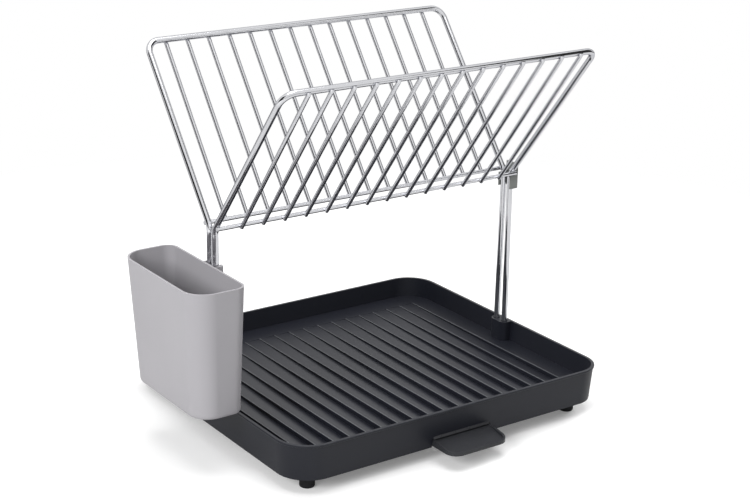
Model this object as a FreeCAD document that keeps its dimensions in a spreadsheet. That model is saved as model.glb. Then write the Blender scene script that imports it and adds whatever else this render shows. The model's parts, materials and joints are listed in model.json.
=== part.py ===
import FreeCAD, Part
import math
import os

doc = FreeCAD.newDocument("dish_rack")
Vec = FreeCAD.Vector

# driving sizes in millimetres; working zero is the tray centre at its lower edge
sheet = doc.addObject("Spreadsheet::Sheet", "sizes")
cells = [
    ("tray_half_length", "184"),
    ("tray_half_width", "160.8"),
    ("tray_height", "35.7"),
    ("lip_proud", "0.8"),
    ("lip_height", "2.2"),
    ("lip_round", "0.7"),
    ("wall_draft", "2.4"),
    ("wall_thick", "2.4"),
    ("near_left_corner", "34"),
    ("near_right_corner", "28"),
    ("back_corner", "32"),
    ("floor_level", "14.5"),
    ("floor_under_front", "8"),
    ("floor_under_back", "12.3"),
    ("groove_count", "18"),
    ("groove_margin", "38.4"),
    ("groove_pitch", "=(2 * tray_half_length - groove_margin) / groove_count"),
    ("groove_inset", "27.4"),
    ("groove_last_x", "=tray_half_length - groove_inset"),
    ("groove_depth", "5"),
    ("groove_back_depth", "0.4"),
    ("groove_front_inset", "25.8"),
    ("groove_front_y", "=groove_front_inset - tray_half_width"),
    ("groove_back_inset", "30.8"),
    ("groove_back_y", "=tray_half_width - groove_back_inset"),
    ("crest_width", "0.9"),
    ("side_channel_depth", "4"),
    ("side_channel_gap", "0.6"),
    ("gutter_inset", "24"),
    ("gutter_half_length", "=tray_half_length - gutter_inset"),
    ("gutter_width", "13"),
    ("gutter_corner", "3"),
    ("gutter_level", "9.4"),
    ("drain_length", "44"),
    ("drain_width", "6"),
    ("drain_inset", "3"),
    ("drain_corner", "2"),
    ("foot_inset_x", "28.4"),
    ("foot_x", "=tray_half_length - foot_inset_x"),
    ("foot_inset_y", "25"),
    ("foot_y", "=tray_half_width - foot_inset_y"),
    ("foot_radius", "7.3"),
    ("foot_height", "14.5"),
    ("foot_round", "1.5"),
    ("stem_radius", "4"),
    ("stem_height", "5.5"),
    ("stem_end_gap", "0.5"),
    ("stem_clearance", "0.05"),
    ("foot_boss_radius", "9"),
    ("spout_centre_x", "4"),
    ("spout_half_width", "34"),
    ("spout_reach", "29.3"),
    ("spout_front_y", "=-tray_half_width - spout_reach"),
    ("spout_length", "50"),
    ("spout_under", "1.5"),
    ("spout_height", "6"),
    ("spout_skin", "2"),
    ("spout_corner", "12"),
    ("spout_lip_drop", "2.5"),
    ("spout_lip_length", "4"),
    ("spout_lip_slope", "26"),
    ("spout_ramp_start", "14"),
    ("spout_ramp_run", "15.5"),
    ("spout_ramp_rise", "3.4"),
    ("spout_gap", "0.5"),
    ("notch_top", "11"),
    ("notch_corner", "4"),
    ("guide_thick", "2"),
    ("guide_foot", "3.5"),
    ("guide_foot_thick", "1.2"),
    ("guide_length", "60"),
    ("rack_centre_y", "-3"),
    ("frame_inset", "8.5"),
    ("frame_half_length", "=tray_half_length - frame_inset"),
    ("frame_wire", "3"),
    ("thin_wire", "2"),
    ("top_rail_y", "123.3"),
    ("top_rail_z", "351"),
    ("junction_y", "4.9"),
    ("junction_z", "199.2"),
    ("top_bend", "13"),
    ("junction_bend", "15"),
    ("leg_foot_y", "6.54"),
    ("leg_foot_z", "11.7"),
    ("socket_clearance", "0.6"),
    ("socket_floor_gap", "0.1"),
    ("boss_reach", "6.4"),
    ("boss_inner_x", "=frame_half_length - boss_reach"),
    ("boss_corner", "7"),
    ("boss_half_width", "11.7"),
    ("lower_rail_up", "5.4"),
    ("lower_rail_overhang", "2"),
    ("weld_overlap", "0.8"),
    ("plate_pitch", "23.5"),
    ("plate_wire_count", "14"),
    ("wire_end_up", "0.6"),
    ("curl_angle", "40"),
    ("clip_bottom", "183.5"),
    ("clip_flange_height", "14"),
    ("clip_web_height", "25.5"),
    ("clip_wall", "1.4"),
    ("clip_side_gap", "0.5"),
    ("clip_mouth_reach", "3.6"),
    ("clip_web_gap", "3.5"),
    ("clip_corner", "3"),
    ("holder_top", "169.9"),
    ("holder_bottom", "45.2"),
    ("holder_offset", "12"),
    ("holder_inner_x", "=-frame_half_length - holder_offset"),
    ("holder_width", "56.3"),
    ("holder_outer_x", "=holder_inner_x - holder_width"),
    ("holder_centre_y", "-17.4"),
    ("holder_half_length", "71.2"),
    ("holder_draft_out", "7.6"),
    ("holder_draft_in", "2.2"),
    ("holder_draft_end", "6.8"),
    ("holder_wall", "2"),
    ("holder_floor", "2.5"),
    ("holder_corner_out", "23"),
    ("holder_corner_in", "12"),
    ("holder_corner_drop", "3"),
    ("holder_base_round", "4"),
    ("holder_slot_count", "5"),
    ("holder_slot_pitch", "20"),
    ("holder_slot_length", "24"),
    ("holder_slot_width", "4"),
    ("sleeve_bottom", "124"),
    ("sleeve_height", "40"),
    ("sleeve_wall", "2.1"),
    ("sleeve_side_gap", "0.6"),
    ("sleeve_web_gap", "0.3"),
    ("sleeve_lip_gap", "0.4"),
    ("sleeve_bridge_gap", "0.8"),
    ("sleeve_corner", "2"),
    ("sleeve_mouth_half", "6"),
    ("sleeve_roof", "3"),
    ("small_corner", "0.5"),
]
for number, (alias, text) in enumerate(cells, start=1):
    sheet.set("A%d" % number, alias)
    sheet.set("B%d" % number, text)
    sheet.setAlias("B%d" % number, alias)
doc.recompute()
size = {alias: float(sheet.get(alias)) for alias, text in cells}

# shift from the working zero to the middle of the whole outline on the ground
originShift = Vec(
    -(size["holder_outer_x"] + size["tray_half_length"]) / 2,
    -(size["spout_front_y"] + size["tray_half_width"]) / 2,
    size["foot_height"],
)

overcut = 1.0
finished = []


def finish(item):
    item.Placement = FreeCAD.Placement(originShift, FreeCAD.Rotation()).multiply(item.Placement)
    finished.append(item)


# sketch and feature helpers
def newBody(label):
    return doc.addObject("PartDesign::Body", label)


def originFeature(body, role):
    for feature in body.Origin.OriginFeatures:
        if feature.Role == role:
            return feature


def newSketch(body, role, offset):
    sketch = body.newObject("Sketcher::SketchObject", "outline")
    sketch.AttachmentSupport = [(originFeature(body, role), "")]
    sketch.MapMode = "FlatFace"
    sketch.AttachmentOffset = FreeCAD.Placement(Vec(0, 0, offset), FreeCAD.Rotation())
    return sketch


def drawPolygon(sketch, points):
    corners = [Vec(across, along, 0) for across, along in points]
    for start, end in zip(corners, corners[1:] + corners[:1]):
        sketch.addGeometry(Part.LineSegment(start, end), False)


def drawRounded(sketch, west, east, south, north, radii):
    # radii run south-west, south-east, north-east, north-west
    corners = [(west, south, 1, 1), (east, south, -1, 1), (east, north, -1, -1), (west, north, 1, -1)]
    ends = []
    for (cornerX, cornerY, signX, signY), radius, turn in zip(corners, radii, (2, 3, 0, 1)):
        centre = Vec(cornerX + signX * radius, cornerY + signY * radius, 0)
        first = turn * math.pi / 2
        circle = Part.Circle(centre, Vec(0, 0, 1), radius)
        sketch.addGeometry(Part.ArcOfCircle(circle, first, first + math.pi / 2), False)
        ends.append([
            centre + Vec(radius * math.cos(angle), radius * math.sin(angle), 0)
            for angle in (first, first + math.pi / 2)
        ])
    for here, after in zip(ends, ends[1:] + ends[:1]):
        if here[1].distanceToPoint(after[0]) > 1e-6:
            sketch.addGeometry(Part.LineSegment(here[1], after[0]), False)


def drawCircle(sketch, across, along, radius):
    sketch.addGeometry(Part.Circle(Vec(across, along, 0), Vec(0, 0, 1), radius), False)


def extrude(body, kind, sketch, length, reverse=False):
    feature = body.newObject("PartDesign::" + kind, kind.lower())
    feature.Profile = sketch
    if isinstance(length, str):
        feature.setExpression("Length", length)
    else:
        feature.Length = length
    feature.Reversed = reverse
    doc.recompute()
    return feature


def blend(body, kind, outlines):
    feature = body.newObject("PartDesign::" + kind, kind.lower())
    feature.Profile = outlines[0]
    feature.Sections = outlines[1:]
    feature.Ruled = True
    doc.recompute()
    return feature


def roundEdges(body, base, radius, chooser):
    names = []
    for number, edge in enumerate(base.Shape.Edges, start=1):
        if chooser(edge):
            names.append("Edge%d" % number)
    feature = body.newObject("PartDesign::Fillet", "rounding")
    feature.Base = (base, names)
    feature.Radius = radius
    doc.recompute()
    return feature


# tray shell: drafted rounded box with a proud rim lip
tray = newBody("drainer_tray")
topX = size["tray_half_length"] - size["lip_proud"]
topY = size["tray_half_width"] - size["lip_proud"]
lowX = topX - size["wall_draft"]
lowY = topY - size["wall_draft"]


def squareRadii(radius):
    return (radius, radius, radius, radius)


def trayRadii(growth):
    named = ("near_left_corner", "near_right_corner", "back_corner", "back_corner")
    return [size[name] + growth for name in named]


lowOutline = newSketch(tray, "XY_Plane", 0)
drawRounded(lowOutline, -lowX, lowX, -lowY, lowY, trayRadii(-size["lip_proud"]))
topOutline = newSketch(tray, "XY_Plane", size["tray_height"])
topOutline.setExpression("AttachmentOffset.Base.z", "sizes.tray_height")
drawRounded(topOutline, -topX, topX, -topY, topY, trayRadii(0))
blend(tray, "AdditiveLoft", [lowOutline, topOutline])

lipOutline = newSketch(tray, "XY_Plane", size["tray_height"] - size["lip_height"])
lipOutline.setExpression("AttachmentOffset.Base.z", "sizes.tray_height - sizes.lip_height")
drawRounded(
    lipOutline,
    -size["tray_half_length"], size["tray_half_length"],
    -size["tray_half_width"], size["tray_half_width"],
    trayRadii(size["lip_proud"]),
)
lip = extrude(tray, "Pad", lipOutline, "sizes.lip_height")


def outsideWall(point):
    # distance of a point outside the top outline of the wall
    nearLeft, nearRight, back, other = trayRadii(0)
    radius = back if point.y > 0 else nearRight if point.x > 0 else nearLeft
    beyondX = abs(point.x) - topX + radius
    beyondY = abs(point.y) - topY + radius
    corner = math.hypot(max(beyondX, 0.0), max(beyondY, 0.0))
    return corner + min(max(beyondX, beyondY), 0.0) - radius


def isLipEdge(edge):
    box = edge.BoundBox
    flat = box.ZLength < 0.01
    level = box.ZMax > size["tray_height"] - size["lip_height"] - 0.01
    middle = edge.valueAt((edge.FirstParameter + edge.LastParameter) / 2)
    return flat and level and outsideWall(middle) > 0.9 * size["lip_proud"]


roundEdges(tray, lip, size["lip_round"], isLipEdge)

# inside of the tray down to the floor
share = size["floor_level"] / size["tray_height"]
wall = size["wall_thick"]
floorX = lowX + size["wall_draft"] * share - wall
floorY = lowY + size["wall_draft"] * share - wall
floorOutline = newSketch(tray, "XY_Plane", size["floor_level"])
floorOutline.setExpression("AttachmentOffset.Base.z", "sizes.floor_level")
drawRounded(floorOutline, -floorX, floorX, -floorY, floorY, trayRadii(-wall))
mouthOutline = newSketch(tray, "XY_Plane", size["tray_height"])
mouthOutline.setExpression("AttachmentOffset.Base.z", "sizes.tray_height")
drawRounded(mouthOutline, wall - topX, topX - wall, wall - topY, topY - wall, trayRadii(-wall))
blend(tray, "SubtractiveLoft", [floorOutline, mouthOutline])

# hollow underside, its ceiling rising to the back
cavityOutline = newSketch(tray, "XY_Plane", 0)
drawRounded(cavityOutline, wall - lowX, lowX - wall, wall - lowY, lowY - wall, trayRadii(-wall))
extrude(tray, "Pocket", cavityOutline, "sizes.floor_under_front", True)


def underside(along):
    rise = size["floor_under_back"] - size["floor_under_front"]
    part = (along - size["groove_front_y"]) / (size["groove_back_y"] - size["groove_front_y"])
    return size["floor_under_front"] + rise * max(0.0, part)


straightX = lowX - max(trayRadii(0))
straightY = lowY - max(trayRadii(0))
for halfSpan, front, back in (
    (straightX, size["groove_front_y"], lowY - wall),
    (lowX - wall, -straightY, straightY),
):
    wedge = newSketch(tray, "YZ_Plane", -halfSpan)
    drawPolygon(wedge, [
        (front, size["floor_under_front"] - overcut),
        (back, size["floor_under_front"] - overcut),
        (back, underside(back)),
        (front, underside(front)),
    ])
    extrude(tray, "Pocket", wedge, 2 * halfSpan, True)

# front gutter that gathers the grooves
gutterFront = size["groove_front_y"] - size["gutter_width"]
gutter = newSketch(tray, "XY_Plane", size["floor_level"])
drawRounded(
    gutter,
    -size["gutter_half_length"], size["gutter_half_length"],
    gutterFront, size["groove_front_y"],
    squareRadii(size["gutter_corner"]),
)
extrude(tray, "Pocket", gutter, "sizes.floor_level - sizes.gutter_level")

# draining grooves: a slope down to the right, then a riser, deeper to the front
firstX = size["groove_last_x"] - size["groove_pitch"] * size["groove_count"]
floorTop = size["floor_level"]
channelWest = size["side_channel_gap"] - floorX
channelSketches = []
grooveSketches = []
for along, depth, channelDepth in (
    (size["groove_front_y"] - overcut, size["groove_depth"], size["side_channel_depth"]),
    (size["groove_back_y"], size["groove_back_depth"], size["groove_back_depth"]),
):
    section = newSketch(tray, "XZ_Plane", -along)
    drawPolygon(section, [
        (channelWest, floorTop + overcut), (channelWest, floorTop - channelDepth),
        (firstX, floorTop - channelDepth), (firstX, floorTop + overcut),
    ])
    channelSketches.append(section)
    section = newSketch(tray, "XZ_Plane", -along)
    drawPolygon(section, [
        (firstX + size["crest_width"], floorTop + overcut),
        (firstX + size["crest_width"], floorTop),
        (firstX + size["groove_pitch"], floorTop - depth),
        (firstX + size["groove_pitch"], floorTop + overcut),
    ])
    grooveSketches.append(section)
# the same fall along the left wall
blend(tray, "SubtractiveLoft", channelSketches)
groove = blend(tray, "SubtractiveLoft", grooveSketches)
grooves = tray.newObject("PartDesign::LinearPattern", "grooves")
grooves.Originals = [groove]
grooves.Direction = (originFeature(tray, "X_Axis"), [""])
grooves.setExpression("Length", "sizes.groove_pitch * (sizes.groove_count - 1)")
grooves.Occurrences = int(size["groove_count"])
tray.Tip = grooves
doc.recompute()

# moulded bosses that take the wire legs
bossBase = size["floor_under_front"]
weldDepth = size["floor_level"] - size["floor_under_back"] - overcut
for side in (-1, 1):
    bossSketches = []
    for level, reach in ((bossBase, lowX), (size["tray_height"], topX - wall / 2)):
        outline = newSketch(tray, "XY_Plane", level)
        west, east = sorted((side * size["boss_inner_x"], side * reach))
        inner, outer = size["boss_corner"], size["small_corner"]
        radii = (inner, outer, outer, inner) if side > 0 else (outer, inner, inner, outer)
        drawRounded(
            outline, west, east,
            size["rack_centre_y"] - size["boss_half_width"],
            size["rack_centre_y"] + size["boss_half_width"],
            radii,
        )
        bossSketches.append(outline)
    blend(tray, "AdditiveLoft", bossSketches)


def legOffset(level):
    run = (size["junction_z"] - level) / (size["junction_z"] - size["leg_foot_z"])
    return size["junction_y"] + (size["leg_foot_y"] - size["junction_y"]) * run


sockets = newSketch(tray, "XY_Plane", size["tray_height"])
socketMiddle = (legOffset(size["tray_height"]) + size["leg_foot_y"]) / 2
for side in (-1, 1):
    for panel in (-1, 1):
        drawCircle(
            sockets,
            side * size["frame_half_length"],
            size["rack_centre_y"] + panel * socketMiddle,
            size["frame_wire"] + size["socket_clearance"],
        )
extrude(tray, "Pocket", sockets, "sizes.tray_height - sizes.leg_foot_z + sizes.socket_floor_gap")

# bosses under the floor that hold the feet
for along, height in ((-size["foot_y"], size["floor_under_front"]), (size["foot_y"], size["floor_under_back"])):
    bosses = newSketch(tray, "XY_Plane", 0)
    for side in (-1, 1):
        drawCircle(bosses, side * size["foot_x"], along, size["foot_boss_radius"])
    extrude(tray, "Pad", bosses, height + weldDepth)
footHoles = newSketch(tray, "XY_Plane", 0)
for side in (-1, 1):
    for along in (-size["foot_y"], size["foot_y"]):
        drawCircle(footHoles, side * size["foot_x"], along, size["stem_radius"] + size["stem_clearance"])
extrude(tray, "Pocket", footHoles, size["stem_height"] + size["stem_end_gap"], True)

# guides under the floor for the sliding spout
spoutHalf = size["spout_half_width"] + size["spout_gap"]
for side in (-1, 1):
    for inner, outer, height in (
        (spoutHalf, spoutHalf + size["guide_thick"], bossBase + weldDepth),
        (spoutHalf - size["guide_foot"], spoutHalf + size["guide_thick"], size["guide_foot_thick"]),
    ):
        west, east = sorted((
            size["spout_centre_x"] + side * inner,
            size["spout_centre_x"] + side * outer,
        ))
        guide = newSketch(tray, "XY_Plane", 0)
        drawPolygon(guide, [
            (west, wall / 2 - lowY), (east, wall / 2 - lowY),
            (east, wall / 2 - lowY + size["guide_length"]), (west, wall / 2 - lowY + size["guide_length"]),
        ])
        extrude(tray, "Pad", guide, height)

# notch in the front wall and drain slot above the spout
notch = newSketch(tray, "XZ_Plane", lowY - 3 * wall)
notchWest = size["spout_centre_x"] - spoutHalf
notchEast = size["spout_centre_x"] + spoutHalf
drawRounded(
    notch, notchWest, notchEast, -2 * size["notch_corner"], size["notch_top"],
    squareRadii(size["notch_corner"]),
)
extrude(tray, "Pocket", notch, 8 * wall, True)
drain = newSketch(tray, "XY_Plane", size["gutter_level"])
drawRounded(
    drain,
    size["spout_centre_x"] - size["drain_length"] / 2, size["spout_centre_x"] + size["drain_length"] / 2,
    gutterFront + size["drain_inset"], gutterFront + size["drain_inset"] + size["drain_width"],
    squareRadii(size["drain_corner"]),
)
extrude(tray, "Pocket", drain, size["gutter_level"] - size["floor_under_front"] + overcut)
finish(tray)

# rubber feet
footLabels = (
    ("foot_front_left", -1, -1), ("foot_front_right", 1, -1),
    ("foot_back_left", -1, 1), ("foot_back_right", 1, 1),
)
for label, side, panel in footLabels:
    foot = newBody(label)
    section = newSketch(foot, "XZ_Plane", 0)
    drawPolygon(section, [
        (0, -size["foot_height"]), (size["foot_radius"], -size["foot_height"]),
        (size["foot_radius"], 0), (size["stem_radius"], 0),
        (size["stem_radius"], size["stem_height"]), (0, size["stem_height"]),
    ])
    turned = foot.newObject("PartDesign::Revolution", "turned")
    turned.Profile = section
    turned.ReferenceAxis = (section, ["V_Axis"])
    turned.Angle = 360
    doc.recompute()

    def isTreadEdge(edge):
        return edge.BoundBox.ZMax < 0.01 - size["foot_height"] and edge.BoundBox.XLength > 1

    roundEdges(foot, turned, size["foot_round"], isTreadEdge)
    foot.Placement.Base = Vec(side * size["foot_x"], panel * size["foot_y"], 0)
    finish(foot)

# pull-out drain spout
spout = newBody("drain_spout")
spoutWest = size["spout_centre_x"] - size["spout_half_width"]
spoutEast = size["spout_centre_x"] + size["spout_half_width"]
spoutBack = size["spout_front_y"] + size["spout_length"]
skin = size["spout_skin"]
channelFloor = size["spout_under"] + skin
channelTop = size["spout_under"] + size["spout_height"]
base = newSketch(spout, "XY_Plane", size["spout_under"])
base.setExpression("AttachmentOffset.Base.z", "sizes.spout_under")
frontRadius = size["spout_corner"]
drawRounded(
    base, spoutWest, spoutEast, size["spout_front_y"], spoutBack,
    (frontRadius, frontRadius, size["small_corner"], size["small_corner"]),
)
extrude(spout, "Pad", base, "sizes.spout_height")
channel = newSketch(spout, "XY_Plane", channelTop)
drawRounded(
    channel, spoutWest + skin, spoutEast - skin, size["spout_front_y"] + skin, spoutBack + 2 * skin,
    (frontRadius - skin, frontRadius - skin, size["small_corner"], size["small_corner"]),
)
extrude(spout, "Pocket", channel, "sizes.spout_height - sizes.spout_skin")
lipTop = channelTop - size["spout_lip_drop"]
lipBack = size["spout_front_y"] + size["spout_lip_length"]
lipCut = newSketch(spout, "YZ_Plane", spoutWest - overcut)
drawPolygon(lipCut, [
    (size["spout_front_y"] - overcut, lipTop),
    (lipBack, lipTop),
    (lipBack + size["spout_lip_slope"], channelTop + overcut),
    (size["spout_front_y"] - overcut, channelTop + overcut),
])
extrude(spout, "Pocket", lipCut, 2 * (size["spout_half_width"] + overcut), True)
ramp = newSketch(spout, "YZ_Plane", spoutWest + skin / 2)
rampFoot = size["spout_front_y"] + size["spout_ramp_start"]
rampTop = channelFloor + size["spout_ramp_rise"]
drawPolygon(ramp, [
    (rampFoot, channelFloor - skin / 4),
    (rampFoot, channelFloor),
    (rampFoot + size["spout_ramp_run"], rampTop),
    (spoutBack, rampTop),
    (spoutBack, channelFloor - skin / 4),
])
extrude(spout, "Pad", ramp, "2 * sizes.spout_half_width - sizes.spout_skin")
finish(spout)


# wire helpers: straight rods and bends from primitives
def addRod(label, start, end, radius):
    rod = doc.addObject("Part::Cylinder", label)
    rod.setExpression("Radius", radius)
    rod.Height = start.distanceToPoint(end)
    rod.Placement = FreeCAD.Placement(start, FreeCAD.Rotation(Vec(0, 0, 1), end - start))
    return rod


def addBend(label, centre, startPoint, heading, bendRadius, angle, radius):
    # the bend leaves startPoint along heading and turns about centre
    outward = (startPoint - centre).normalize()
    forward = Vec(heading).normalize()
    axis = outward.cross(forward)
    bend = doc.addObject("Part::Torus", label)
    bend.Radius1 = bendRadius
    bend.setExpression("Radius2", radius)
    bend.Angle3 = angle
    bend.Placement = FreeCAD.Placement(centre, FreeCAD.Rotation(outward, forward, axis, "ZXY"))
    return bend


def join(label, pieces):
    union = doc.addObject("Part::MultiFuse", label)
    union.Shapes = pieces
    union.Refine = False
    doc.recompute()
    return union


frameX = size["frame_half_length"]
rackY = size["rack_centre_y"]
wireCount = int(size["plate_wire_count"])
for panelName, panel in (("front", -1), ("back", 1)):
    topCorner = Vec(0, rackY + panel * size["top_rail_y"], size["top_rail_z"])
    junction = Vec(0, rackY + panel * size["junction_y"], size["junction_z"])
    legEnd = Vec(0, rackY + panel * size["leg_foot_y"], size["leg_foot_z"])
    armUp = (topCorner - junction).normalize()
    legDown = (legEnd - junction).normalize()
    # the arm meets the leg through a bend tangent to both
    turnAngle = math.pi - armUp.getAngle(legDown)
    tangent = size["junction_bend"] * math.tan(turnAngle / 2)
    armStart = junction + armUp * tangent
    legStart = junction + legDown * tangent
    inward = (armUp + legDown).normalize()
    bendCentre = junction + inward * (size["junction_bend"] / math.cos(turnAngle / 2))
    topStraight = frameX - size["top_bend"]
    for sideName, side in (("left", -1), ("right", 1)):
        out = Vec(side * frameX, 0, 0)
        straight = addRod(
            panelName + sideName + "ArmRod",
            armStart + out, topCorner - armUp * size["top_bend"] + out, "sizes.frame_wire",
        )
        elbow = addBend(
            panelName + sideName + "ArmBend",
            bendCentre + out, armStart + out, -armUp, size["junction_bend"],
            math.degrees(turnAngle), "sizes.frame_wire",
        )
        finish(join(panelName + "_" + sideName + "_arm", [straight, elbow]))
        finish(addRod(panelName + "_" + sideName + "_leg", legStart + out, legEnd + out, "sizes.frame_wire"))
    # top rail with its two corner bends
    middle = addRod(
        panelName + "RailRod",
        topCorner - Vec(topStraight, 0, 0), topCorner + Vec(topStraight, 0, 0), "sizes.frame_wire",
    )
    corners = []
    for side in (-1, 1):
        turnStart = topCorner + Vec(side * topStraight, 0, 0)
        corners.append(addBend(
            panelName + "RailBend",
            turnStart - armUp * size["top_bend"], turnStart, Vec(side, 0, 0),
            size["top_bend"], 90, "sizes.frame_wire",
        ))
    finish(join(panelName + "_top_rail", [middle] + corners))
    # lower rail welded to the outer side of the arms
    outer = Vec(0, panel * armUp.z, -panel * armUp.y)
    weldReach = size["frame_wire"] + size["thin_wire"] - size["weld_overlap"]
    railPoint = junction + armUp * size["lower_rail_up"] + outer * weldReach
    railHalf = Vec(frameX + size["lower_rail_overhang"], 0, 0)
    finish(addRod(panelName + "_lower_rail", railPoint - railHalf, railPoint + railHalf, "sizes.thin_wire"))
    # plate wires lie on the outer side of both rails and curl around the top one
    reachLow = 2 * size["thin_wire"] - size["weld_overlap"]
    reachTop = size["frame_wire"] + size["thin_wire"] - size["weld_overlap"]
    span = topCorner - railPoint
    tilt = math.asin((reachTop - reachLow) / span.Length)
    along = Vec(span).normalize()
    across = Vec(0, panel * along.z, -panel * along.y)
    normal = across * math.cos(tilt) - along * math.sin(tilt)
    climb = along * math.cos(tilt) + across * math.sin(tilt)
    wires = []
    for number in range(wireCount):
        place = Vec((number - (wireCount - 1) / 2) * size["plate_pitch"], 0, 0)
        lowPoint = railPoint + normal * reachLow + climb * size["wire_end_up"] + place
        topPoint = topCorner + normal * reachTop + place
        wires.append(join(panelName + "Wire%02d" % number, [
            addRod(panelName + "WireRod%02d" % number, lowPoint, topPoint, "sizes.thin_wire"),
            addBend(
                panelName + "WireCurl%02d" % number, topCorner + place, topPoint, climb,
                reachTop, size["curl_angle"], "sizes.thin_wire",
            ),
        ]))
    group = doc.addObject("Part::Compound", panelName + "_plate_wires")
    group.Links = wires
    doc.recompute()
    finish(group)

# slip-on clip around the right leg pair under the junction
clip = newBody("junction_clip")
legSpread = legOffset(size["clip_bottom"]) + size["frame_wire"] + size["clip_side_gap"]
clipMouth = frameX - size["clip_mouth_reach"]
clipWeb = frameX + size["frame_wire"] + size["clip_web_gap"]
clipWall = size["clip_wall"]
clipOut = legSpread + clipWall
clipCorner = size["clip_corner"]
small = size["small_corner"]
clipOutline = newSketch(clip, "XY_Plane", size["clip_bottom"])
clipOutline.setExpression("AttachmentOffset.Base.z", "sizes.clip_bottom")
drawRounded(
    clipOutline, clipMouth, clipWeb + clipWall, rackY - clipOut, rackY + clipOut,
    (small, clipCorner, clipCorner, small),
)
extrude(clip, "Pad", clipOutline, "sizes.clip_web_height")
clipHollow = newSketch(clip, "XY_Plane", size["clip_bottom"])
drawRounded(
    clipHollow, clipMouth - overcut, clipWeb, rackY - legSpread, rackY + legSpread,
    (small, clipCorner - clipWall, clipCorner - clipWall, small),
)
extrude(clip, "Pocket", clipHollow, "sizes.clip_web_height", True)
# the flanges end below the bends, the web goes on with a rounded top
clipTop = size["clip_bottom"] + size["clip_web_height"]
flangeTop = size["clip_bottom"] + size["clip_flange_height"]
flangeCut = newSketch(clip, "XZ_Plane", -(rackY + clipOut + overcut))
drawPolygon(flangeCut, [
    (clipMouth - overcut, flangeTop), (clipWeb - clipWall, flangeTop),
    (clipWeb, flangeTop + clipWall), (clipWeb, clipTop + overcut), (clipMouth - overcut, clipTop + overcut),
])
extrude(clip, "Pocket", flangeCut, 2 * (clipOut + overcut), True)
finish(clip)

# cutlery holder with the sleeve that hugs the left leg pair
holder = newBody("cutlery_holder")
holderWall = size["holder_wall"]
holderTall = size["holder_top"] - size["holder_bottom"]
baseRound = size["holder_base_round"]


def holderOutline(level, inset):
    lower = (size["holder_top"] - level) / holderTall
    outline = newSketch(holder, "XY_Plane", level)
    radiusDrop = inset + lower * size["holder_corner_drop"]
    halfLength = size["holder_half_length"] - lower * size["holder_draft_end"] - inset
    outRadius = size["holder_corner_out"] - radiusDrop
    inRadius = size["holder_corner_in"] - radiusDrop
    drawRounded(
        outline,
        size["holder_outer_x"] + lower * size["holder_draft_out"] + inset,
        size["holder_inner_x"] - lower * size["holder_draft_in"] - inset,
        size["holder_centre_y"] - halfLength, size["holder_centre_y"] + halfLength,
        (outRadius, inRadius, inRadius, outRadius),
    )
    return outline


# the base is rounded in four steps along a quarter circle
outlines = []
for step in range(5):
    angle = math.radians(90 * step / 4)
    outlines.append(holderOutline(
        size["holder_bottom"] + baseRound * (1 - math.cos(angle)),
        baseRound * (1 - math.sin(angle)),
    ))
outlines.append(holderOutline(size["holder_top"], 0.0))
blend(holder, "AdditiveLoft", outlines)
blend(holder, "SubtractiveLoft", [
    holderOutline(size["holder_bottom"] + size["holder_floor"], holderWall),
    holderOutline(size["holder_top"] + overcut, holderWall),
])

sleeveOut = legOffset(size["sleeve_bottom"]) + size["frame_wire"] + size["sleeve_side_gap"]
sleeveWall = size["sleeve_wall"]
legWest = -frameX - size["frame_wire"] - size["sleeve_web_gap"]
legEast = -frameX + size["frame_wire"] + size["sleeve_lip_gap"]
sleeve = newSketch(holder, "XY_Plane", size["sleeve_bottom"])
sleeve.setExpression("AttachmentOffset.Base.z", "sizes.sleeve_bottom")
drawRounded(
    sleeve, size["holder_inner_x"] - holderWall, legEast + sleeveWall,
    rackY - sleeveOut - sleeveWall, rackY + sleeveOut + sleeveWall,
    (small, size["sleeve_corner"], size["sleeve_corner"], small),
)
extrude(holder, "Pad", sleeve, "sizes.sleeve_height")
for west, east, halfWidth, height in (
    (legWest, legEast, sleeveOut, size["sleeve_height"] + overcut),
    (legEast - overcut, legEast + sleeveWall + overcut, size["sleeve_mouth_half"], size["sleeve_height"] + overcut),
    (
        size["holder_inner_x"] + size["sleeve_bridge_gap"], legWest - sleeveWall, sleeveOut - sleeveWall / 2,
        size["sleeve_height"] - size["sleeve_roof"],
    ),
):
    cut = newSketch(holder, "XY_Plane", size["sleeve_bottom"])
    drawRounded(cut, west, east, rackY - halfWidth, rackY + halfWidth, squareRadii(small))
    extrude(holder, "Pocket", cut, height, True)

# drain slots through the floor of the holder
slots = newSketch(holder, "XY_Plane", size["holder_bottom"])
slotX = (size["holder_outer_x"] + size["holder_draft_out"] + size["holder_inner_x"] - size["holder_draft_in"]) / 2
slotCount = int(size["holder_slot_count"])
for number in range(slotCount):
    slotY = size["holder_centre_y"] + (number - (slotCount - 1) / 2) * size["holder_slot_pitch"]
    drawRounded(
        slots,
        slotX - size["holder_slot_length"] / 2, slotX + size["holder_slot_length"] / 2,
        slotY - size["holder_slot_width"] / 2, slotY + size["holder_slot_width"] / 2,
        squareRadii(size["holder_slot_width"] / 2),
    )
extrude(holder, "Pocket", slots, size["holder_floor"] + overcut, True)
finish(holder)

# every piece is checked, then written to its own file
doc.recompute()
for item in doc.Objects:
    if "Invalid" in item.State or "Error" in item.State:
        raise RuntimeError(item.Label + " did not compute")
os.makedirs("parts", exist_ok=True)
for item in finished:
    shape = item.Shape
    if shape.isNull() or not shape.isValid():
        raise RuntimeError(item.Label + " has a broken shape")
    shape.exportStep(os.path.join("parts", item.Label + ".step"))
    print(item.Label, len(shape.Solids), round(shape.Volume), [round(v, 1) for v in (
        shape.BoundBox.XMin, shape.BoundBox.XMax, shape.BoundBox.YMin,
        shape.BoundBox.YMax, shape.BoundBox.ZMin, shape.BoundBox.ZMax,
    )])
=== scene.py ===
import bmesh
import bpy
import json
import math
from mathutils import Matrix, Vector


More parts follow.
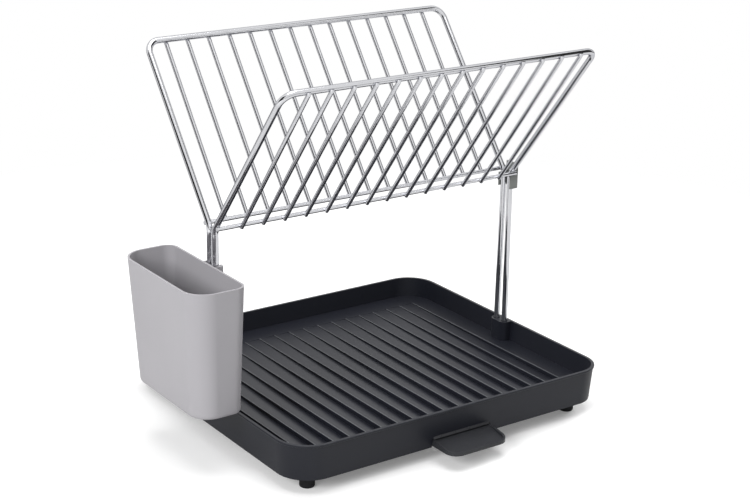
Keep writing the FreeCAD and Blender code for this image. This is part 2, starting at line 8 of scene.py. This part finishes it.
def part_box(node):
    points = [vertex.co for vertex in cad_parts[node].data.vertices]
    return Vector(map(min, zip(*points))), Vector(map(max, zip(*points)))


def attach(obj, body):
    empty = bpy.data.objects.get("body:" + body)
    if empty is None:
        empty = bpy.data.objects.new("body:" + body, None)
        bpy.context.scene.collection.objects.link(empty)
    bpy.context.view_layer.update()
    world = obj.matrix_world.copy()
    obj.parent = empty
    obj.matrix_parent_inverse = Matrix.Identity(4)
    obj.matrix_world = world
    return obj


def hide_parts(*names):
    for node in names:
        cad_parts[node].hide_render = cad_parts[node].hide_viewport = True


# sizes are in metres and angles in degrees
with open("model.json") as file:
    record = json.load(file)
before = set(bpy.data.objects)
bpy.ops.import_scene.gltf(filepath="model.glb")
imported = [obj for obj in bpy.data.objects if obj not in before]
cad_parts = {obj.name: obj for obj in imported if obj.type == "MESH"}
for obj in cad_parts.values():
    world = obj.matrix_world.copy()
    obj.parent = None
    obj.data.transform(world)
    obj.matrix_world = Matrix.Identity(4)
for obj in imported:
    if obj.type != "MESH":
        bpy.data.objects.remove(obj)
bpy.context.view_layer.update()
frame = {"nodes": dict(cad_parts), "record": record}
nodes = frame["nodes"]
bodyOf = {node: body for body, names in frame["record"]["behaviour"]["bodies"].items() for node in names}
slotOf = {entry["node"]: entry["material_slot"] for entry in frame["record"]["subparts"]}
trayLow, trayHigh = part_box("drainer_tray")
spoutLow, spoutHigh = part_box("drain_spout")
print("frame loaded")


# node helpers for the finishes
def addNode(tree, kind, **settings):
    node = tree.nodes.new(kind)
    for key, value in settings.items():
        setattr(node, key, value)
    return node


def grey(value):
    return (value, value, value, 1)


def objectNoise(tree, scale, detail):
    coordinates = addNode(tree, "ShaderNodeTexCoord")
    noise = addNode(tree, "ShaderNodeTexNoise")
    noise.inputs["Scale"].default_value = scale
    noise.inputs["Detail"].default_value = detail
    tree.links.new(coordinates.outputs["Object"], noise.inputs["Vector"])
    return noise.outputs["Fac"]


noiseRange = {"low": 0.3, "high": 0.7}  # the stretch of a noise that a ramp spreads out


def ramp(tree, source, low, high):
    node = addNode(tree, "ShaderNodeValToRGB")
    first, last = node.color_ramp.elements
    first.position, first.color = noiseRange["low"], low
    last.position, last.color = noiseRange["high"], high
    tree.links.new(source, node.inputs["Fac"])
    return node.outputs["Color"]


def cloudColour(tree, shader, source, look):
    low = [channel * look["darken"] for channel in look["colour"]]
    tree.links.new(ramp(tree, source, (*low, 1), (*look["colour"], 1)), shader.inputs["Base Color"])


def unevenRoughness(tree, shader, source, look):
    low = grey(look["roughness"] - look["roughnessSpread"])
    high = grey(look["roughness"] + look["roughnessSpread"])
    tree.links.new(ramp(tree, source, low, high), shader.inputs["Roughness"])


def addBump(tree, shader, source, strength, depth, before=None):
    bump = addNode(tree, "ShaderNodeBump")
    bump.inputs["Strength"].default_value = strength
    bump.inputs["Distance"].default_value = depth
    tree.links.new(source, bump.inputs["Height"])
    if before:
        tree.links.new(before.outputs["Normal"], bump.inputs["Normal"])
    tree.links.new(bump.outputs["Normal"], shader.inputs["Normal"])
    return bump


def newFinish(name):
    material = bpy.data.materials.new(name)
    material.use_nodes = True
    return material, material.node_tree.nodes["Principled BSDF"]


# moulded plastic and rubber: faint colour clouds, a shallow flow wave and a fine moulding grain
trayLook = {
    "colour": (0.0105, 0.0116, 0.0172), "darken": 0.85, "cloudScale": 9, "grainScale": 1500,
    "roughness": 0.43, "roughnessSpread": 0.04, "specular": 0.32,
    "flowDepth": 0.0004, "grainStrength": 0.2, "grainDepth": 0.00005,
}
# lighter plastic for the crest ridges: a painted highlight along the crests, not a colour of the tray
crestPaintedHighlightLook = {
    "colour": (0.12, 0.124, 0.135), "darken": 0.85, "cloudScale": 40, "grainScale": 1500,
    "roughness": 0.36, "roughnessSpread": 0.05, "specular": 0.45,
    "flowDepth": 0.0002, "grainStrength": 0.15, "grainDepth": 0.00003,
}
# plastic of the spout and its lip, lighter than the tray's: painted light on the spout's ramp
spoutPaintedLightLook = {
    "colour": (0.026, 0.027, 0.031), "darken": 0.85, "cloudScale": 60, "grainScale": 1500,
    "roughness": 0.46, "roughnessSpread": 0.04, "specular": 0.35,
    "flowDepth": 0.0003, "grainStrength": 0.2, "grainDepth": 0.00005,
}
holderLook = {
    "colour": (0.35, 0.341, 0.36), "darken": 0.95, "cloudScale": 14, "grainScale": 1700,
    "roughness": 0.42, "roughnessSpread": 0.05, "specular": 0.4,
    "flowDepth": 0.0004, "grainStrength": 0.2, "grainDepth": 0.00005,
}
clipLook = {
    "colour": (0.22, 0.23, 0.22), "darken": 0.92, "cloudScale": 60, "grainScale": 1800,
    "roughness": 0.5, "roughnessSpread": 0.05, "specular": 0.35,
    "flowDepth": 0.0003, "grainStrength": 0.2, "grainDepth": 0.00005,
}
rubberLook = {
    "colour": (0.012, 0.012, 0.014), "darken": 0.8, "cloudScale": 90, "grainScale": 2200,
    "roughness": 0.68, "roughnessSpread": 0.08, "specular": 0.25,
    "flowDepth": 0.0003, "grainStrength": 0.4, "grainDepth": 0.00008,
}
mouldNoise = {"cloudDetail": 3.0, "grainDetail": 2.0, "flowStrength": 0.1, "flowScaleUp": 2}


def mouldedPlastic(name, look):
    material, shader = newFinish(name)
    tree = material.node_tree
    cloud = objectNoise(tree, look["cloudScale"], mouldNoise["cloudDetail"])
    grain = objectNoise(tree, look["grainScale"], mouldNoise["grainDetail"])
    wave = objectNoise(tree, look["cloudScale"] * mouldNoise["flowScaleUp"], mouldNoise["grainDetail"])
    cloudColour(tree, shader, cloud, look)
    unevenRoughness(tree, shader, grain, look)
    shader.inputs["Specular IOR Level"].default_value = look["specular"]
    flow = addBump(tree, shader, wave, mouldNoise["flowStrength"], look["flowDepth"])
    addBump(tree, shader, grain, look["grainStrength"], look["grainDepth"], flow)
    return material


# polished chrome wire, a little hazy, with fine drawing marks
chromeLook = {
    "colour": (0.7, 0.705, 0.73), "rimTint": (0.3, 0.3, 0.33, 1), "darken": 0.92,
    "roughness": 0.1, "roughnessSpread": 0.025, "hazeScale": 35, "drawScale": 260, "noiseDetail": 3.0,
    "bumpStrength": 0.02, "bumpDepth": 0.00002,
}


def polishedChrome(name, look):
    material, shader = newFinish(name)
    tree = material.node_tree
    haze = objectNoise(tree, look["hazeScale"], look["noiseDetail"])
    marks = objectNoise(tree, look["drawScale"], look["noiseDetail"])
    cloudColour(tree, shader, haze, look)
    unevenRoughness(tree, shader, marks, look)
    shader.inputs["Metallic"].default_value = 1.0
    shader.inputs["Specular Tint"].default_value = look["rimTint"]
    addBump(tree, shader, marks, look["bumpStrength"], look["bumpDepth"])
    return material


finishes = {
    "tray_plastic": mouldedPlastic("trayPlastic", trayLook),
    "holder_plastic": mouldedPlastic("holderPlastic", holderLook),
    "clip_plastic": mouldedPlastic("clipPlastic", clipLook),
    "foot_rubber": mouldedPlastic("footRubber", rubberLook),
    "chrome_wire": polishedChrome("chromeWire", chromeLook),
    "crest": mouldedPlastic("crestPaintedHighlight", crestPaintedHighlightLook),
    "sluice": mouldedPlastic("sluicePaintedLight", spoutPaintedLightLook),
}
print("finishes ready")


def linkedObject(name, data):
    made = bpy.data.objects.new(name, data)
    bpy.context.scene.collection.objects.link(made)
    return made


# a bmesh becomes an object at the origin, with its place in its mesh
def objectFrom(work, name):
    mesh = bpy.data.meshes.new(name)
    work.to_mesh(mesh)
    work.free()
    return linkedObject(name, mesh)


def smoothByAngle(work, degrees):
    work.normal_update()
    limit = math.radians(degrees)
    for face in work.faces:
        face.smooth = True
    for edge in work.edges:
        edge.smooth = len(edge.link_faces) == 2 and edge.calc_face_angle(0.0) < limit


def newPiece(work, name, finish, smoothBelow, body):
    smoothByAngle(work, smoothBelow)
    piece = objectFrom(work, name)
    piece.data.materials.append(finishes[finish])
    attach(piece, body)
    return piece


# every solid is copied clean and shaded smooth below one angle; all but the feet are rounded above another
dressing = {
    "tray_plastic": {"smoothBelow": 25, "roundWidth": 0.0006, "roundAbove": 35},
    "holder_plastic": {"smoothBelow": 25, "roundWidth": 0.0009, "roundAbove": 35},
    "clip_plastic": {"smoothBelow": 25, "roundWidth": 0.0004, "roundAbove": 35},
    "chrome_wire": {"smoothBelow": 50, "roundWidth": 0.0008, "roundAbove": 70},
    "foot_rubber": {"smoothBelow": 25},
}
# the spout takes the lighter plastic, painted light on its ramp
ownFinish = {"drain_spout": "sluice"}
copySizes = {"mergeWithin": 1e-6, "degenerateBelow": 1e-7, "roundSegments": 3}


def dressedCopy(node, look):
    work = bmesh.new()
    work.from_mesh(nodes[node].data)
    bmesh.ops.remove_doubles(work, verts=work.verts, dist=copySizes["mergeWithin"])
    bmesh.ops.dissolve_degenerate(work, dist=copySizes["degenerateBelow"], edges=work.edges)
    finish = ownFinish.get(node, slotOf[node])
    piece = newPiece(work, node + "_finish", finish, look["smoothBelow"], bodyOf[node])
    if "custom_normal" in piece.data.attributes:  # left from the loose triangles
        piece.data.attributes.remove(piece.data.attributes["custom_normal"])
    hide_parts(node)
    return piece


def roundEdges(piece, look):
    rounding = piece.modifiers.new("edgeRound", "BEVEL")
    rounding.width = look["roundWidth"]
    rounding.segments = copySizes["roundSegments"]
    rounding.limit_method = "ANGLE"
    rounding.angle_limit = math.radians(look["roundAbove"])
    rounding.use_clamp_overlap = True


for node in list(nodes):
    look = dressing[slotOf[node]]
    piece = dressedCopy(node, look)
    if "roundWidth" in look:
        roundEdges(piece, look)
print("pieces dressed")

# fine rounded ridges along the crests of the tray floor, in a lighter plastic that is a painted highlight
# along each crest
ridgeSizes = {
    "count": 19, "pitch": 0.018311, "sideGap": 0.01145, "frontGap": 0.0258, "backGap": 0.0308,
    "level": 0.01441, "radius": 0.00042, "segments": 8, "smoothBelow": 60,
}


def crestRidges(look):
    work = bmesh.new()
    front = trayLow[1] + look["frontGap"]
    length = trayHigh[1] - look["backGap"] - front
    turn = Matrix.Rotation(math.radians(90), 4, "X")
    for number in range(look["count"]):
        centreX = trayLow[0] + look["sideGap"] + look["pitch"] * number
        place = Matrix.Translation((centreX, front, trayLow[2] + look["level"])) @ turn
        ring = bmesh.ops.create_circle(
            work, cap_ends=True, segments=look["segments"], radius=look["radius"], matrix=place,
        )
        pulled = bmesh.ops.extrude_face_region(work, geom=ring["verts"][0].link_faces[:])
        moved = [item for item in pulled["geom"] if isinstance(item, bmesh.types.BMVert)]
        bmesh.ops.translate(work, vec=(0, length, 0), verts=moved)
    bmesh.ops.recalc_face_normals(work, faces=work.faces)
    newPiece(work, "crestRidges", "crest", look["smoothBelow"], "tray")


crestRidges(ridgeSizes)
print("crest ridges added")

# sloping ribbed lip behind the front wall, which leads water down into the spout; it takes the spout's
# lighter plastic, which is painted light
lipSizes = {
    "sideGap": 0.00075, "behindFront": 0.00255, "aboveSpout": 0.0021, "thick": 0.0011, "height": 0.0034,
    "lean": -24, "ribs": 4, "ribWidth": 0.0016, "ribHeight": 0.00306,
    "round": 0.0004, "roundSegments": 3, "smoothBelow": 40,
}


def roundedBar(work, size, place, look):
    made = bmesh.ops.create_cube(work, size=1.0, matrix=place @ Matrix.Diagonal((*size, 1)))
    edges = list({edge for vert in made["verts"] for edge in vert.link_edges})
    bmesh.ops.bevel(
        work, geom=edges, offset=look["round"], segments=look["roundSegments"], profile=0.5,
        affect="EDGES", clamp_overlap=True, material=-1,
    )


def sluiceLip(look):
    work = bmesh.new()
    length = spoutHigh[0] - spoutLow[0] - 2 * look["sideGap"]
    centre = Vector((
        (spoutLow[0] + spoutHigh[0]) / 2,
        trayLow[1] + look["behindFront"],
        spoutHigh[2] + look["aboveSpout"],
    ))
    base = Matrix.Translation(centre) @ Matrix.Rotation(math.radians(look["lean"]), 4, "X")
    roundedBar(work, (length, look["thick"], look["height"]), base, look)
    for number in range(look["ribs"]):
        along = length * ((number + 0.5) / look["ribs"] - 0.5)
        place = base @ Matrix.Translation((along, -look["thick"] / 2, 0))
        roundedBar(work, (look["ribWidth"], look["thick"], look["ribHeight"]), place, look)
    newPiece(work, "sluiceLip", "sluice", look["smoothBelow"], "tray")


sluiceLip(lipSizes)
print("sluice lip added")

# camera at the angle of the photograph, with lens and sensor in millimetres
cameraPlace = {
    "azimuth": 35.333, "elevation": 18.997, "roll": 1.138, "distance": 1.6907,
    "target": (0.04709, 0.02288, 0.1535), "lens": 80.82, "sensor": 36.0, "nearest": 0.05, "farthest": 30.0,
}


def placeCamera(place):
    azimuth, elevation, roll = (math.radians(place[key]) for key in ("azimuth", "elevation", "roll"))
    forward = Vector((
        math.sin(azimuth) * math.cos(elevation),
        math.cos(azimuth) * math.cos(elevation),
        -math.sin(elevation),
    ))
    level = Vector((math.cos(azimuth), -math.sin(azimuth), 0))
    above = level.cross(forward)
    across = level * math.cos(roll) + above * math.sin(roll)
    upward = above * math.cos(roll) - level * math.sin(roll)
    data = bpy.data.cameras.new("photoCamera")
    data.lens = place["lens"]
    data.sensor_width = place["sensor"]
    data.clip_start = place["nearest"]
    data.clip_end = place["farthest"]
    camera = linkedObject("photoCamera", data)
    turn = Matrix((across, upward, -forward)).transposed().to_4x4()
    turn.translation = Vector(place["target"]) - forward * place["distance"]
    camera.matrix_world = turn
    bpy.context.scene.camera = camera


placeCamera(cameraPlace)
print("camera placed")


# shader helpers for the surroundings
def plainShader(tree, kind, **values):
    shader = addNode(tree, kind)
    for name, value in values.items():
        shader.inputs[name].default_value = value
    return shader.outputs[0]


def mixedShader(tree, share, first, second):
    mix = addNode(tree, "ShaderNodeMixShader")
    tree.links.new(share, mix.inputs["Fac"])
    tree.links.new(first, mix.inputs[1])
    tree.links.new(second, mix.inputs[2])
    return mix.outputs[0]


# white floor that keeps the shadow near the object; only the camera sees its lift and its white far part
floorLook = {"half": 6.0, "colour": 0.85, "bounce": 0.64, "lift": 0.18, "fadeFrom": 0.45, "fadeTo": 0.95}


def whiteFloor(look):
    work = bmesh.new()
    bmesh.ops.create_grid(work, x_segments=1, y_segments=1, size=look["half"])
    floor = objectFrom(work, "studioFloor")
    material = bpy.data.materials.new("studioFloor")
    material.use_nodes = True
    tree = material.node_tree
    tree.nodes.clear()
    lifted = addNode(tree, "ShaderNodeAddShader")
    tree.links.new(plainShader(tree, "ShaderNodeBsdfDiffuse", Color=grey(look["colour"])), lifted.inputs[0])
    tree.links.new(plainShader(tree, "ShaderNodeEmission", Strength=look["lift"]), lifted.inputs[1])
    coordinates = addNode(tree, "ShaderNodeTexCoord")
    distance = addNode(tree, "ShaderNodeVectorMath", operation="LENGTH")
    fade = addNode(tree, "ShaderNodeMapRange")
    fade.inputs["From Min"].default_value = look["fadeFrom"]
    fade.inputs["From Max"].default_value = look["fadeTo"]
    tree.links.new(coordinates.outputs["Object"], distance.inputs[0])
    tree.links.new(distance.outputs["Value"], fade.inputs["Value"])
    white = plainShader(tree, "ShaderNodeEmission", Strength=1.0)
    seen = mixedShader(tree, fade.outputs["Result"], lifted.outputs[0], white)
    bounce = plainShader(tree, "ShaderNodeBsdfDiffuse", Color=grey(look["bounce"]))
    path = addNode(tree, "ShaderNodeLightPath")
    surface = mixedShader(tree, path.outputs["Is Camera Ray"], bounce, seen)
    output = addNode(tree, "ShaderNodeOutputMaterial")
    tree.links.new(surface, output.inputs["Surface"])
    floor.data.materials.append(material)


# dark curved screens outside this camera's view, which the chrome mirrors as dark streaks;
# their ends are counted clockwise from +Y
screenSet = (
    {"name": "rightScreen", "radius": 2.1, "low": 0.02, "high": 2.3, "from": 100, "to": 138, "parts": 12},
    {"name": "leftScreen", "radius": 2.1, "low": 0.2, "high": 2.0, "from": 240, "to": 292, "parts": 12},
)
screenLook = {"colour": 0.01, "roughness": 0.9}


def darkScreen(look):
    work = bmesh.new()
    start = math.radians(look["from"])
    x = math.sin(start) * look["radius"]
    y = math.cos(start) * look["radius"]
    foot = work.verts.new((x, y, look["low"]))
    head = work.verts.new((x, y, look["high"]))
    side = work.edges.new((foot, head))
    bmesh.ops.spin(
        work, geom=[foot, head, side], cent=(0, 0, 0), axis=(0, 0, -1),
        angle=math.radians(look["to"] - look["from"]), steps=look["parts"],
    )
    screen = objectFrom(work, look["name"])
    material, shader = newFinish(look["name"])
    shader.inputs["Base Color"].default_value = grey(screenLook["colour"])
    shader.inputs["Roughness"].default_value = screenLook["roughness"]
    screen.data.materials.append(material)


# white world, dimmer for the light that it sheds than for what is seen or mirrored
worldLook = {"ambient": 0.5, "seen": 1.0}


def seenOrMirrored(tree):
    path = addNode(tree, "ShaderNodeLightPath")
    either = addNode(tree, "ShaderNodeMath", operation="MAXIMUM")
    anyOf = addNode(tree, "ShaderNodeMath", operation="MAXIMUM")
    tree.links.new(path.outputs["Is Camera Ray"], either.inputs[0])
    tree.links.new(path.outputs["Is Glossy Ray"], either.inputs[1])
    tree.links.new(either.outputs[0], anyOf.inputs[0])
    tree.links.new(path.outputs["Is Transmission Ray"], anyOf.inputs[1])
    return anyOf.outputs[0]


def whiteWorld(look):
    world = bpy.data.worlds.new("studioWorld")
    bpy.context.scene.world = world
    world.use_nodes = True
    tree = world.node_tree
    tree.nodes.clear()
    soft = plainShader(tree, "ShaderNodeBackground", Color=grey(1), Strength=look["ambient"])
    white = plainShader(tree, "ShaderNodeBackground", Color=grey(1), Strength=look["seen"])
    output = addNode(tree, "ShaderNodeOutputWorld")
    tree.links.new(mixedShader(tree, seenOrMirrored(tree), soft, white), output.inputs["Surface"])


# square softboxes; the two at the sides light the part but aren't mirrored in it
lampSet = (
    {"name": "topSoftbox", "place": (-0.1, -0.1, 2.2), "size": 1.5, "power": 29, "mirrored": True},
    {"name": "leftSoftbox", "place": (-1.7, -0.68, 1.0), "size": 0.8, "power": 31, "mirrored": False},
    {"name": "rightSoftbox", "place": (1.8, 0.25, 0.95), "size": 0.9, "power": 26, "mirrored": False},
)
lampAim = (0, 0, 0.15)


def addLamp(lamp):
    data = bpy.data.lights.new(lamp["name"], "AREA")
    data.size = lamp["size"]
    data.energy = lamp["power"]
    light = linkedObject(lamp["name"], data)
    light.location = lamp["place"]
    light.visible_glossy = lamp["mirrored"]
    light.rotation_mode = "QUATERNION"
    light.rotation_quaternion = (Vector(lamp["place"]) - Vector(lampAim)).to_track_quat("Z", "Y")


whiteFloor(floorLook)
for screen in screenSet:
    darkScreen(screen)
whiteWorld(worldLook)
for lamp in lampSet:
    addLamp(lamp)
bpy.context.scene.view_settings.view_transform = "Standard"
print("studio ready")
